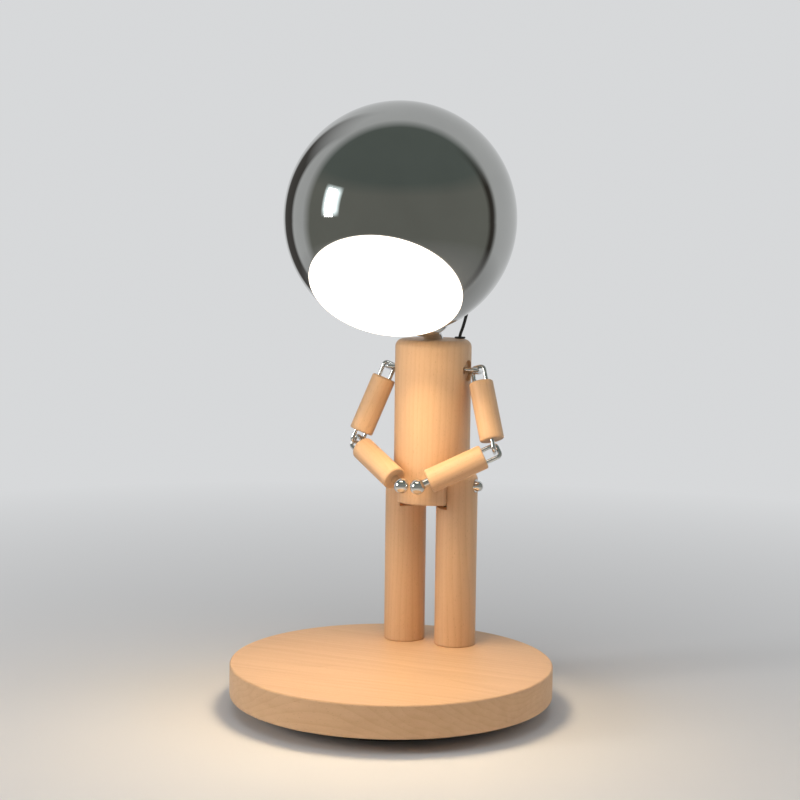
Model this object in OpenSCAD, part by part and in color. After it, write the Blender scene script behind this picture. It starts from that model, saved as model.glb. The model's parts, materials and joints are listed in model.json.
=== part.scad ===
// Wooden figure desk lamp: a chromed ball with a lit opening stands on a beech body with two legs,
// jointed arms with metal hands, and a round base. Millimetres, origin at the centre of the underside,
// +Z up, front towards -Y, the figure's left hand towards +X.

/* [Base] */
// Diameter of the wooden base disc
base_d = 200; // [190:1:230]
// Thickness of the wooden base disc
base_t = 20; // [19:0.5:26]
// Height of the base disc above the table
base_lift = 9; // [8:0.5:12]
// Rounding of the base disc's edges
base_round = 1.2; // [0.5:0.1:2.5]
// Radius of the pocket under the base disc
pocket_r = 76; // [74:0.5:80]
// Thickness of wood left over the pocket
pocket_roof = 8; // [7:0.5:10]
// Radius of the foot dish below the base
dish_r = 74; // [70:0.5:76]
// Width of the foot dish's flange
dish_flange = 12; // [11:0.5:14]
// Wall of the foot dish
dish_wall = 2.5; // [2:0.1:3]
// Height of the rubber ring under the dish
foot_ring_t = 2; // [1.5:0.1:3]
// Width of the rubber ring
foot_ring_w = 8; // [5:0.5:10]
// Radius of the steel weight
weight_r = 64; // [50:1:66]
// Thickness of the steel weight
weight_t = 5; // [3:0.5:5.5]
// Number of screws that hold the dish
dish_screws = 6; // [4:1:8]
// Diameter of the small wood screws
wood_screw_d = 3; // [2.5:0.1:3.5]

/* [Legs and hip] */
// Distance of the legs behind the centre of the base
leg_back = 59.5; // [56:0.5:64]
// Diameter of a leg
leg_d = 26.6; // [25:0.1:28]
// Gap between the legs
leg_gap = 9.2; // [6:0.1:10]
// Diameter of the tenon under a leg
tenon_d = 16; // [14:0.5:18]
// Length of the tenon under a leg
tenon_l = 5; // [3:0.5:5.5]
// Height of the hip bolt above the base disc
hip_h = 104; // [90:0.5:115]
// Height of the legs' tops above the hip bolt
cheek_above = 8.5; // [7:0.1:9]
// Rounding of the legs' tops
cheek_round = 5; // [4:0.5:6]
// Depth of the body's tongue below the hip bolt
tongue_below = 11.6; // [9:0.1:13]
// Width of the body's tongue between the legs
tongue_w = 32.4; // [30:0.1:33]
// Height of the body's shoulder over the hip bolt
shoulder_above = 11.5; // [11:0.1:14]
// Tilt of the body either way
hip_range = 12; // [5:1:14]
// Diameter of the hip bolt
hip_bolt_d = 4; // [3:0.1:4.5]
// Outer diameter of the hip bush
hip_bush_d = 6; // [5.5:0.1:7]
// Diameter of the hip cap nuts
cap_nut_d = 7; // [6:0.1:8]
// Diameter of the washers under the cap nuts
washer_d = 8.4; // [8:0.1:9.5]
// Thickness of the washers
washer_t = 0.6; // [0.4:0.1:1]

/* [Body] */
// Diameter of the body
torso_d = 49; // [46:0.5:54]
// Height of the body's top above the hip bolt
torso_above = 93; // [90:0.5:110]
// Rounding of the body's top edge
torso_round = 5; // [3:0.5:6]
// Depth of the shoulder pivots below the body's top
shoulder_drop = 19.5; // [18:0.5:26]

/* [Head] */
// Diameter of the metal ball
head_d = 142; // [130:1:150]
// Wall of the metal ball
head_wall = 0.8; // [0.6:0.1:1.5]
// Radius of the lit opening
opening_r = 46.3; // [42:0.1:48]
// Distance of the ball's centre in front of the body's axis
head_forward = 54; // [50:0.5:60]
// Height of the ball's centre above the body's top
head_up = 76; // [72:0.5:85]
// Angle of the lit face's normal below level
look_down = 48.4; // [45:0.1:60]
// Turn of the ball about its own centre
head_turn = 11; // [0:0.5:14]
// Thickness of the opal disc's rim
diffuser_lip = 1.2; // [0.8:0.1:2]
// Radius of the light board
board_r = 26; // [24:0.5:28]
// Thickness of the light board
board_t = 1.6; // [1:0.1:2]
// Height of the light board above the lit face
board_up = 30; // [26:0.5:34]
// Number of light chips in the ring
chips = 12; // [8:1:16]
// Number of fins on the heat sink
fins = 9; // [5:2:11]
// Height of the heat sink's fins
fin_h = 15; // [8:0.5:18]

/* [Neck] */
// Diameter of the neck post
post_d = 12; // [10:0.5:13]
// Length of the neck post above the body's top
post_out = 12; // [11.5:0.1:13]
// Depth of the neck post in the body
post_in = 15; // [12:0.5:16]
// Diameter of the spindle on the post
spindle_d = 6; // [5:0.1:7]
// Diameter of the magnet cup
cup_d = 28; // [26:0.5:30]
// Diameter of the magnet
magnet_d = 21; // [18:0.5:22]
// Thickness of the magnet
magnet_t = 4; // [3:0.1:4.5]
// Diameter of the lead to the head
lead_d = 2; // [1.8:0.1:2.6]

/* [Arms] */
// Distance of the shoulder pivots outside the body
shoulder_out = 6.9; // [6:0.1:8]
// Length from the shoulder pivot to the elbow pivot
upper_reach = 53.2; // [50:0.1:56]
// Length from the elbow pivot to the hand ball's centre
fore_reach = 53; // [50:0.1:56]
// Turn of the elbow down and back about the line from shoulder to hand
elbow_swivel = 18; // [10:1:30]
// Diameter of the arm rods
arm_d = 15.5; // [14:0.1:16]
// Rounding of the arm rods' edges
arm_round = 1.2; // [0.5:0.1:2]
// Distance from a pivot to the rod that hangs on it
rod_gap = 7.3; // [7.2:0.1:9]
// Distance from the elbow pivot up to the upper arm rod
elbow_gap = 7.5; // [7.4:0.1:9]
// Diameter of the hand balls
hand_d = 10; // [9:0.1:11]
// Gap between the two hand balls
hand_gap = 1; // [0.3:0.1:1.5]
// Distance of the hands in front of the body's surface
hand_forward = 10.5; // [10.3:0.1:14]
// Height of the hands above the hip bolt
hand_up = 2.2; // [0:0.1:10]
// Length of the neck between a forearm and its hand ball
hand_neck = 2.7; // [1.5:0.1:3]
// Diameter of the wire of the arm links
wire_d = 2.6; // [2.2:0.1:2.8]
// Distance between the two prongs of a shackle
shackle_w = 9.4; // [9:0.1:10]
// Distance between the two prongs of a loop
loop_w = 8; // [7.8:0.1:8.4]
// Bend radius of the wire at its centre line
wire_bend = 2.2; // [1.8:0.1:2.6]
// Depth of the loops' prongs in the wood
prong_in = 7; // [5:0.5:9]
// Diameter of the disc under a shackle
shackle_disc_d = 13; // [12.6:0.1:13.4]
// Thickness of the disc under a shackle
shackle_disc_t = 1.4; // [1:0.1:2]
// Diameter of a shackle's shank
shank_d = 4.5; // [4:0.1:5]
// Length of a shackle's shank
shank_l = 9; // [7:0.5:11]

/* [Clearances] */
// Radial clearance of a shaft that turns in a bore
run_fit = 0.05; // [0.02:0.01:0.1]
// Clearance between pieces that move past each other
gap = 0.3; // [0.25:0.05:0.5]
// Clearance round a piece that is glued or seated
seat_fit = 0.05; // [0.02:0.01:0.1]
// Clearance round the lead in its holes
lead_fit = 0.5; // [0.3:0.1:0.6]

/* [Inlet] */
// Width of the power inlet's block
inlet_w = 14; // [13:0.5:16]
// Height of the power inlet's block
inlet_h = 8; // [7:0.5:9]
// Width of the socket's shell
socket_w = 9; // [8.9:0.1:9.2]
// Height of the socket's shell
socket_h = 3.3; // [3.2:0.1:3.4]
// Length of the socket's shell
socket_l = 8; // [7:0.5:10]

/* [Hidden] */
$fn = 64;
eps = 0.01;
corner_full = 1.06;
through = 10;
left = 1;
right = -1;

// Heights of the base
dish_h = base_lift - foot_ring_t;
base_top = base_lift + base_t;
pocket_top = base_top - pocket_roof;
dish_floor = foot_ring_t + dish_wall;
dish_screw_r = dish_r + dish_flange / 2 + 1;
flange_t = 2;
screw_head_d = 5.6;
screw_head_t = 1.6;
dish_screw_l = 11;
board_size = [44, 34, 1.6];
board_y = 18;
// Blocks under the board: left edge, front edge, width, depth and height
board_blocks = [[-12, -6, 10, 10, 3], [6, -8, 8, 8, 2.4]];
// Round capacitor under the board: centre, diameter and height
capacitor = [2, 8, 6, 4];
spacer_h = 4.4;
spacer_d = 6;
board_top = pocket_top - spacer_h;
pad_r = 10;
pad_t = 0.3;
leg_screw_l = 30;
socket_inset = 2;
socket_wall = 0.35;
socket_back = 1;
socket_blade = 0.8;
leg_screw_d = 4;

// Legs and hip
leg_x = (leg_d + leg_gap) / 2;
hip_z = base_top + hip_h;
cheek_top = hip_z + cheek_above;
notch_w = tongue_w + 2 * gap;
leg_outer = leg_x + leg_d / 2;
washer_x = leg_outer - 0.7;
nut_x = washer_x + washer_t;
nut_base_t = 1.2;
leg_bore_x = leg_gap / 2 + leg_d * 0.3;
leg_bore_y = leg_back - leg_d / 4;
lead_hole_d = lead_d + 2 * lead_fit;

// Body, neck and head
torso_r = torso_d / 2;
torso_top = hip_z + torso_above;
torso_bottom = hip_z - tongue_below;
torso_edge = 1;
neck_foot = [0, leg_back, torso_top];
head_r = head_d / 2;
head_c = neck_foot + [0, -head_forward, head_up];
neck_axis = unit(head_c - neck_foot);
neck_reach = norm(head_c - neck_foot);
ball_at = neck_reach - head_r;
cup_back = post_out + gap;
cup_front = ball_at - gap;
bush_l = 5;
bush_d = spindle_d + 4;
neck_screw_d = 2.5;
neck_screw_head_d = spindle_d + 1.4;
neck_screw_head_t = 1.4;
neck_screw_in = 4;
spindle_top = cup_back + bush_l + gap;
magnet_recess = 0.3;
magnet_top = cup_front - magnet_recess;
pad_w = 1.6;
pad_deep = 1.2;
pad_proud = 0.4;
pad_r_in = magnet_d / 2 + 0.8;
opening_z = -sqrt(pow(head_r, 2) - pow(opening_r, 2));
shell_in = head_r - head_wall;
lip_fit = 0.2;
spigot_r = sqrt(pow(shell_in, 2) - pow(opening_z, 2)) - 2 * lip_fit;
spigot_h = 3;
frame_h = 6;
frame_low = opening_z + 1;
board_z = opening_z + board_up;
sink_base_t = 3;
sink_r = board_r + 2;
rib_w = 6;
rib_t = 3;
rib_clear = 1;
rib_end = 2;
rib_hold = 5;
reflector_wall = 1.2;
chip_size = [3, 3, 0.8];
chip_ring_r = board_r * 0.6;
sink_screw_inset = 5.6;
sink_screw_r = board_r - sink_screw_inset;
sink_screw_d = 3;
fin_inset = 7;
fin_t = 1.2;
torso_lead_up = 52;
torso_lead_z = hip_z + torso_lead_up;

// Lead's hole in the body's top, from the neck's foot, and its grommet
lead_hole = [13, 13, 0];
grommet_d = 7;
grommet_lip = 1.2;
grommet_neck = 3;
grommet_neck_d = grommet_d - 2;

// Corners of the lead's path through the body
lead_low_end = [leg_bore_x, leg_bore_y, torso_bottom - 1];
lead_corner = [0, leg_back, torso_lead_z];
lead_high_end = neck_foot + lead_hole - [0, 0, grommet_neck];

// Route of the lead from the body's top to the back of the ball, from the neck's foot
lead_low_route = [[13, 13, -2], [13, 13, 2], [14, 15, 7], [15, 17, 13], [16, 19, 20], [17, 21, 27]];
lead_high_route = [[17, 21, 27], [18, 23, 34], [18, 25, 41], [18, 26, 48], [18, 26, 54], [17, 23, 60]];
lead_face = [14, 66, -12];
lead_dir = unit(lead_face);
lead_side = unit(cross([0, 0, 1], lead_face));
lead_entry = head_c + head_r * lead_dir;
lead_in_ball = 22;
lead_sink_off = [6, 6, 4];
lead_sink_end = head_c + lead_sink_off;

// Arms: shoulder, hand and elbow points on the left side, by the two arm lengths
shoulder_p = [torso_r + shoulder_out, leg_back, torso_top - shoulder_drop];
hand_p = [(hand_d + hand_gap) / 2, leg_back - torso_r - hand_forward, hip_z + hand_up];
arm_span = norm(hand_p - shoulder_p);
arm_line = unit(hand_p - shoulder_p);
arm_foot = (pow(upper_reach, 2) - pow(fore_reach, 2) + pow(arm_span, 2)) / (2 * arm_span);
arm_out = sqrt(pow(upper_reach, 2) - pow(arm_foot, 2));
out_dir = unit([1, 0, 0] - arm_line[0] * arm_line);
elbow_dir = cos(elbow_swivel) * out_dir - sin(elbow_swivel) * cross(arm_line, out_dir);
elbow_p = shoulder_p + arm_foot * arm_line + arm_out * elbow_dir;
upper_dir = unit(elbow_p - shoulder_p);
fore_dir = unit(hand_p - elbow_p);
shoulder_bar = unit(cross(upper_dir, [1, 0, 0]));
elbow_bar = unit(cross(upper_dir, fore_dir));
upper_l = upper_reach - rod_gap - elbow_gap;
fore_l = fore_reach - rod_gap - hand_d / 2 - hand_neck;
link_slack = 0.15;
loop_up = wire_d + link_slack;
hand_pin_d = 3;
hand_pin_in = 7;
hand_collar_d = 5.5;
hand_sink = 0.8;
shoulder_seat = torso_r - 1.1;

// Unit vector
function unit(v) = v / norm(v);

// Points of a circular arc
function arc(cx, cy, r, a0, a1, n = 6) =
    [for (i = [0:n]) [cx + r * cos(a0 + (a1 - a0) * i / n), cy + r * sin(a0 + (a1 - a0) * i / n)]];

// Half outline of a rod from its foot up, with round ends
function rod_outline(r, l, low, high) = concat([[0, 0]], arc(r - low, low, low, -90, 0),
    arc(r - high, l - high, high, 0, 90), [[0, l]]);

// Rod that stands on its foot, with rounded edges
module rod(d, l, low, high) rotate_extrude($fn = 96) polygon(rod_outline(d / 2, l, low, high));

// Puts a shape's origin at p with its X and Z axes along x and z
module place(p, x, z) {
    y = cross(z, x);
    multmatrix([[x[0], y[0], z[0], p[0]], [x[1], y[1], z[1], p[1]], [x[2], y[2], z[2], p[2]],
        [0, 0, 0, 1]]) children();
}

// Left side as drawn, right side mirrored
module on_side(side) mirror([side == right ? 1 : 0, 0, 0]) children();

// Into the ball's own frame: centre at the origin, lit face towards -Z
module in_head() translate(head_c) rotate([0, 0, head_turn]) rotate([look_down - 90, 0, 0]) children();

// Along the neck: origin at the body's top, +Z towards the ball's centre
module along_neck() place(neck_foot, [1, 0, 0], neck_axis) children();

// Straight bar from a to b
module bar(a, b, d) {
    dir = unit(b - a);
    side = unit(cross(dir, abs(dir[0]) < 0.9 ? [1, 0, 0] : [0, 1, 0]));
    place(a, side, dir) cylinder(h = norm(b - a), d = d, $fn = 32);
}

// Bars through a list of points, with slightly fuller balls at the corners
module bent_bar(points, d) {
    for (i = [1:len(points) - 1]) bar(points[i - 1], points[i], d);
    for (i = [1:len(points) - 2]) translate(points[i]) sphere(d = d * corner_full, $fn = 32);
}

// Direction of a route at one of its points
function heading(p, i) = unit(p[min(i + 1, len(p) - 1)] - p[max(i - 1, 0)]);

// Ring of a tube round one point of its route
function tube_ring(p, i, d, n) =
    let (t = heading(p, i), u = unit(cross(t, [1, 0, 0])), v = cross(t, u))
    [for (k = [0:n - 1]) p[i] + d / 2 * (cos(360 * k / n) * u + sin(360 * k / n) * v)];

// Tube along a route
module tube(points, d, n = 8) {
    last = (len(points) - 1) * n;
    rings = [for (i = [0:len(points) - 1]) each tube_ring(points, i, d, n)];
    walls = [for (i = [0:len(points) - 2]) for (k = [0:n - 1])
        [i * n + k, i * n + (k + 1) % n, (i + 1) * n + (k + 1) % n, (i + 1) * n + k]];
    polyhedron(rings, concat(walls, [[for (k = [n - 1:-1:0]) k]], [[for (k = [0:n - 1]) last + k]]));
}

// U of round wire: its bar along X at the origin, its prongs down to -l
module wire_u(w, l) {
    half = w / 2 - wire_bend;
    rotate([0, 90, 0]) cylinder(h = 2 * half, d = wire_d, center = true, $fn = 32);
    for (s = [0, 1]) mirror([s, 0, 0]) {
        translate([w / 2, 0, -l]) cylinder(h = l - wire_bend, d = wire_d, $fn = 32);
        translate([half, 0, -wire_bend]) rotate([90, 0, 0]) rotate_extrude(angle = 90)
            translate([wire_bend, 0]) circle(d = wire_d, $fn = 32);
    }
}

// Domed cap nut on +Z
module cap_nut() {
    cylinder(h = nut_base_t, d = cap_nut_d);
    translate([0, 0, nut_base_t]) intersection() {
        sphere(d = cap_nut_d);
        cylinder(h = cap_nut_d, d = cap_nut_d + 1);
    }
}

// Pan head screw: head on +Z at the origin, shank down
module screw(d, l, head_d, head_t) {
    rotate_extrude() polygon(concat([[0, 0], [head_d / 2, 0]],
        arc(head_d / 2 - head_t * 0.6, head_t * 0.4, head_t * 0.6, 0, 90), [[0, head_t]]));
    translate([0, 0, -l]) cylinder(h = l, d = d);
}

// Places of the dish screws
module at_dish_screws() for (i = [0:dish_screws - 1]) rotate(90 + 360 * (i + 0.5) / dish_screws)
    translate([dish_screw_r, 0, dish_h]) children();

// Places of the board's spacers
module at_spacers() for (x = [-1, 1]) for (y = [-1, 1])
    translate([x * (board_size[0] / 2 - 4), board_y + y * (board_size[1] / 2 - 4), board_top]) children();

// Rear channel of the base, for the inlet
module inlet_space(clear) translate([-inlet_w / 2 - clear, pocket_r - 4, base_lift - eps])
    cube([inlet_w + 2 * clear, base_d, inlet_h + clear]);

// ---- Base ----

module base_disc() color("burlywood") difference() {
    translate([0, 0, base_lift]) rod(base_d, base_t, base_round, base_round);
    translate([0, 0, base_lift - eps]) cylinder(h = base_t - pocket_roof + eps, r = pocket_r, $fn = 128);
    for (s = [-1, 1]) translate([s * leg_x, leg_back, 0]) {
        translate([0, 0, base_top - tenon_l]) cylinder(h = tenon_l + eps, d = tenon_d + 2 * seat_fit);
        cylinder(h = base_top, d = leg_screw_d + 2 * seat_fit);
    }
    translate([leg_bore_x, leg_bore_y, 0]) cylinder(h = base_top, d = lead_hole_d);
    at_dish_screws() cylinder(h = dish_screw_l, d = wood_screw_d);
    inlet_space(seat_fit);
}

module base_weight() color("dimgray") translate([0, 0, dish_floor]) difference() {
    cylinder(h = weight_t, r = weight_r, $fn = 128);
    translate([0, 0, -eps]) cylinder(h = weight_t + 1, r = 4);
}

module foot_dish() color("#222222") difference() {
    union() {
        translate([0, 0, foot_ring_t]) cylinder(h = dish_h, r = dish_r, $fn = 128);
        translate([0, 0, base_lift - flange_t]) cylinder(h = flange_t, r = dish_r + dish_flange, $fn = 128);
    }
    translate([0, 0, dish_floor]) cylinder(h = dish_h, r = dish_r - dish_wall, $fn = 128);
    at_dish_screws() translate([0, 0, -dish_h]) cylinder(h = dish_h * 3, d = wood_screw_d + 2 * seat_fit);
}

module foot_ring() color("#111111") difference() {
    cylinder(h = foot_ring_t, r = dish_r - 1, $fn = 128);
    translate([0, 0, -eps]) cylinder(h = foot_ring_t + 1, r = dish_r - 1 - foot_ring_w, $fn = 128);
}

module dish_screws() color("silver") at_dish_screws()
    rotate([180, 0, 0]) screw(wood_screw_d, dish_screw_l, screw_head_d, screw_head_t);

module board_spacers() color("ivory") at_spacers() cylinder(h = spacer_h, d = spacer_d);

module touch_board() color("darkgreen") {
    translate([-board_size[0] / 2, board_y - board_size[1] / 2, board_top - board_size[2]])
        cube(board_size);
    for (b = board_blocks) translate([b[0], board_y + b[1], board_top - board_size[2] - b[4]])
        cube([b[2], b[3], b[4]]);
    translate([capacitor[0], board_y + capacitor[1], board_top - board_size[2] - capacitor[3]])
        cylinder(h = capacitor[3], d = capacitor[2]);
}

module touch_pad() color("orange") translate([0, board_y - board_size[1], pocket_top - pad_t])
    cylinder(h = pad_t, r = pad_r);

module inlet_block() color("#1a1a1a") difference() {
    intersection() {
        inlet_space(0);
        translate([0, 0, base_lift]) cylinder(h = inlet_h, d = base_d - 1, $fn = 128);
    }
    socket_at() translate([0, 0, -through]) socket_form(socket_l + 2 * through, 0);
}

// At the socket's mouth, with +Z into the base
module socket_at() translate([0, base_d / 2 - socket_inset, base_lift + inlet_h / 2])
    rotate([90, 0, 0]) children();

// Flat form with round ends, l long from its mouth and smaller by inset all round
module socket_form(l, inset) linear_extrude(height = l) {
    square([socket_w - socket_h, socket_h - 2 * inset], center = true);
    for (s = [-1, 1]) translate([s * (socket_w - socket_h) / 2, 0])
        circle(d = socket_h - 2 * inset, $fn = 32);
}

module power_socket() color("silver") socket_at() difference() {
    socket_form(socket_l, seat_fit);
    difference() {
        translate([0, 0, -eps]) socket_form(socket_l - socket_back, socket_wall);
        translate([0, 0, -1]) linear_extrude(height = socket_l)
            square([socket_w - socket_h, socket_blade], center = true);
    }
}

// Leg on the left side
module leg() difference() {
    translate([leg_x, leg_back, base_top - tenon_l]) union() {
        cylinder(h = tenon_l + 1, d = tenon_d);
        translate([0, 0, tenon_l]) rod(leg_d, cheek_top - base_top, 0.8, cheek_round);
    }
    hip_notch();
    translate([0, leg_back, hip_z]) rotate([0, 90, 0])
        cylinder(h = base_d, d = hip_bolt_d + 2 * seat_fit);
    translate([washer_x, leg_back, hip_z]) rotate([0, 90, 0]) cylinder(h = leg_d, d = washer_d + 1);
    translate([leg_x, leg_back, 0]) cylinder(h = base_top + leg_screw_l, d = leg_screw_d);
}

// Room for the tongue: its floor falls away to both sides at the tilt's angle
module hip_notch() {
    depth = (tongue_below + gap) / cos(hip_range);
    half = leg_d / 2 + 1;
    translate([-notch_w / 2, leg_back, hip_z]) rotate([90, 0, 90]) linear_extrude(height = notch_w)
        polygon([[0, -depth], [half, -depth - half * tan(hip_range)], [half, leg_d],
            [-half, leg_d], [-half, -depth - half * tan(hip_range)]]);
}

module leg_left() color("burlywood") difference() {
    leg();
    translate([leg_bore_x, leg_bore_y, 0]) cylinder(h = hip_z, d = lead_hole_d);
}

module leg_right() color("burlywood") on_side(right) leg();

module leg_screws() color("silver") for (s = [-1, 1]) translate([s * leg_x, leg_back, pocket_top])
    rotate([180, 0, 0]) screw(leg_screw_d, leg_screw_l, leg_screw_d * 2, 2.2);

module hip_bolt() color("silver") translate([0, leg_back, hip_z]) rotate([0, 90, 0])
    cylinder(h = 2 * nut_x, d = hip_bolt_d, center = true);

module hip_washers() color("silver") for (s = [0, 1]) mirror([s, 0, 0])
    translate([washer_x, leg_back, hip_z]) rotate([0, 90, 0]) difference() {
        cylinder(h = washer_t, d = washer_d);
        translate([0, 0, -eps]) cylinder(h = washer_t + 1, d = hip_bolt_d + 2 * seat_fit);
    }

module hip_cap_nuts() color("silver") for (s = [0, 1]) mirror([s, 0, 0])
    translate([nut_x, leg_back, hip_z]) rotate([0, 90, 0]) cap_nut();

module leg_lead() color("#222222") bent_bar([
    [leg_bore_x, board_y + board_size[1] / 2 - 2, board_top - board_size[2] - lead_d / 2],
    [leg_bore_x, leg_bore_y, board_top - board_size[2] - lead_d / 2],
    [leg_bore_x, leg_bore_y, torso_bottom - gap - 2]], lead_d);

// ---- Body ----

module torso() color("burlywood") difference() {
    translate([0, leg_back, torso_bottom])
        rod(torso_d, torso_top - torso_bottom, torso_edge, torso_round);
    for (s = [-1, 1]) translate([s * (tongue_w / 2 + torso_r) - torso_r, leg_back - torso_r, 0])
        cube([torso_d, torso_d, hip_z + shoulder_above]);
    translate([0, leg_back, hip_z]) rotate([0, 90, 0])
        cylinder(h = torso_d, d = hip_bush_d + 2 * seat_fit, center = true);
    along_neck() translate([0, 0, -post_in]) cylinder(h = post_in * 2, d = post_d + 2 * seat_fit);
    for (s = [0, 1]) mirror([s, 0, 0]) place(shoulder_p, shoulder_bar, [1, 0, 0]) {
        translate([0, 0, shoulder_seat - shoulder_p[0] - shackle_disc_t - gap])
            cylinder(h = torso_d, d = shackle_disc_d + 2 * gap);
        translate([0, 0, shoulder_seat - shoulder_p[0] - shackle_disc_t - shank_l - 1])
            cylinder(h = torso_d, d = shank_d + 2 * run_fit);
    }
    bent_bar([lead_low_end, lead_corner, lead_high_end], lead_hole_d);
    translate(lead_high_end) cylinder(h = 2 * grommet_neck, d = grommet_neck_d);
}

module hip_bush() color("goldenrod") translate([0, leg_back, hip_z]) rotate([0, 90, 0]) difference() {
    cylinder(h = tongue_w, d = hip_bush_d, center = true);
    cylinder(h = tongue_w + 1, d = hip_bolt_d + 2 * run_fit, center = true);
}

module torso_lead() color("#222222") bent_bar([lead_low_end + 2 * unit(lead_corner - lead_low_end),
    lead_corner, lead_high_end], lead_d);

module torso_grommet() color("#222222") translate(neck_foot + lead_hole) difference() {
    union() {
        cylinder(h = grommet_lip, d = grommet_d);
        translate([0, 0, -grommet_neck]) cylinder(h = grommet_neck, d = grommet_neck_d - 2 * seat_fit);
    }
    translate([0, 0, -grommet_neck - 1]) cylinder(h = 3 * grommet_neck, d = lead_hole_d);
}

module lead_lower() color("#222222") translate(neck_foot) tube(lead_low_route, lead_d);

// ---- Neck ----

module neck_post() color("silver") along_neck() difference() {
    union() {
        translate([0, 0, -post_in]) cylinder(h = post_in + post_out, d = post_d);
        cylinder(h = spindle_top, d = spindle_d);
    }
    translate([0, 0, post_out - neck_screw_in]) cylinder(h = spindle_top, d = neck_screw_d);
}

module neck_screw() color("dimgray") along_neck() translate([0, 0, spindle_top])
    screw(neck_screw_d, spindle_top - post_out + neck_screw_in, neck_screw_head_d, neck_screw_head_t);

module neck_cup() color("silver") along_neck() difference() {
    translate([0, 0, cup_back]) rod(cup_d, cup_front - cup_back + 3, 1, 0.5);
    translate([0, 0, neck_reach]) sphere(r = head_r + gap, $fn = 128);
    translate([0, 0, cup_back - eps]) cylinder(h = cup_front, d = bush_d + 2 * seat_fit);
    translate([0, 0, magnet_top - magnet_t]) cylinder(h = cup_front, d = magnet_d + 2 * seat_fit);
    pad_seat(seat_fit);
}

// Groove for the soft ring on the cup's rim
module pad_seat(clear) translate([0, 0, cup_front + pad_proud - pad_deep]) difference() {
    cylinder(h = cup_front, r = pad_r_in + pad_w + clear);
    translate([0, 0, -eps]) cylinder(h = cup_front + 1, r = pad_r_in - clear);
}

module cup_pad() color("#333333") along_neck() difference() {
    pad_seat(0);
    translate([0, 0, neck_reach]) sphere(r = head_r + gap, $fn = 128);
    translate([0, 0, cup_front + 3]) cylinder(h = cup_front * 2, d = cup_d);
}

module neck_bush() color("goldenrod") along_neck() translate([0, 0, cup_back]) difference() {
    cylinder(h = bush_l, d = bush_d);
    translate([0, 0, -1]) cylinder(h = bush_l * 2, d = spindle_d + 2 * run_fit);
}

module neck_magnet() color("gray") along_neck() translate([0, 0, magnet_top - magnet_t]) difference() {
    cylinder(h = magnet_t, d = magnet_d);
    translate([0, 0, -1]) cylinder(h = magnet_t * 2, d = bush_d);
}

// ---- Head ----

// At the lead's hole in the ball, with +Z out of it
module at_lead_entry() place(lead_entry, lead_side, lead_dir) children();

module head_shell() color("lightgray") difference() {
    in_head() difference() {
        sphere(r = head_r, $fn = 180);
        sphere(r = shell_in, $fn = 180);
        translate([0, 0, opening_z - head_d]) cylinder(h = head_d, r = head_r);
    }
    at_lead_entry() translate([0, 0, -through]) cylinder(h = 2 * through, d = grommet_neck_d);
}

module diffuser() color("#fff4e0") in_head() translate([0, 0, opening_z]) {
    rotate([180, 0, 0]) rod(2 * (opening_r - lip_fit), diffuser_lip, 0.1, 0.5);
    cylinder(h = spigot_h, r = spigot_r);
}

module lamp_frame() color("white") in_head() {
    difference() {
        translate([0, 0, frame_low]) cylinder(h = frame_h, r = head_r);
        translate([0, 0, frame_low - 1]) cylinder(h = frame_h + 2, r = spigot_r + seat_fit);
        difference() {
            translate([0, 0, frame_low - 1]) cylinder(h = frame_h + 2, r = head_r + 1);
            sphere(r = shell_in - seat_fit, $fn = 180);
        }
    }
    for (i = [0:2]) rotate(120 * i + 30) frame_rib();
}

// Rib from the seat ring up to the heat sink's rim
module frame_rib() rotate([90, 0, 0]) translate([0, 0, -rib_w / 2]) linear_extrude(height = rib_w) {
    low = frame_low + frame_h;
    high = board_z + board_t + sink_base_t;
    foot = spigot_r + rib_clear;
    head = sink_r + rib_clear;
    polygon([[foot, low - rib_end], [foot + rib_t, low - rib_end], [foot + rib_t, low],
        [head + rib_t, high], [head + rib_t, high + rib_end], [sink_r - rib_hold, high + rib_end],
        [sink_r - rib_hold, high], [head, high]]);
}

module reflector() color("white") in_head() rotate_extrude($fn = 96) polygon([
    [board_r - 1, board_z - 0.2], [board_r - 1 - reflector_wall, board_z - 0.2],
    [spigot_r - 2 - reflector_wall, opening_z + spigot_h + 0.2], [spigot_r - 2, opening_z + spigot_h + 0.2]]);

module light_board() color("whitesmoke") in_head() translate([0, 0, board_z]) difference() {
    cylinder(h = board_t, r = board_r);
    at_sink_screws() translate([0, 0, -1]) cylinder(h = board_t * 3, d = sink_screw_d + 2 * seat_fit);
}

// Places of the heat sink's screws
module at_sink_screws() for (i = [0:2]) rotate(120 * i + 90) translate([sink_screw_r, 0, 0]) children();

module light_chips() color("#ffe9b0") in_head() translate([0, 0, board_z - chip_size[2]]) {
    for (i = [0:chips - 1]) rotate(360 * i / chips) translate([chip_ring_r, 0, chip_size[2] / 2])
        cube(chip_size, center = true);
    translate([0, 0, chip_size[2] / 2]) cube(chip_size, center = true);
}

module heat_sink() color("silver") in_head() translate([0, 0, board_z + board_t]) difference() {
    union() {
        cylinder(h = sink_base_t, r = sink_r);
        for (i = [0:fins - 1]) fin((i - (fins - 1) / 2) * 2 * (board_r - fin_inset) / (fins - 1));
    }
    at_sink_screws() translate([0, 0, -1])
        cylinder(h = sink_base_t + 1 + eps, d = sink_screw_d + 2 * seat_fit);
}

// Fin of the heat sink, as long as the round base allows
module fin(y) {
    half = sqrt(pow(board_r - 6, 2) - pow(y, 2));
    translate([-half, y - fin_t / 2, sink_base_t - eps]) cube([2 * half, fin_t, fin_h]);
}

module sink_screws() color("silver") in_head() at_sink_screws() translate([0, 0, board_z])
    rotate([180, 0, 0]) screw(sink_screw_d, board_t + sink_base_t - 0.5, 1.8 * sink_screw_d, 1.4);

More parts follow.
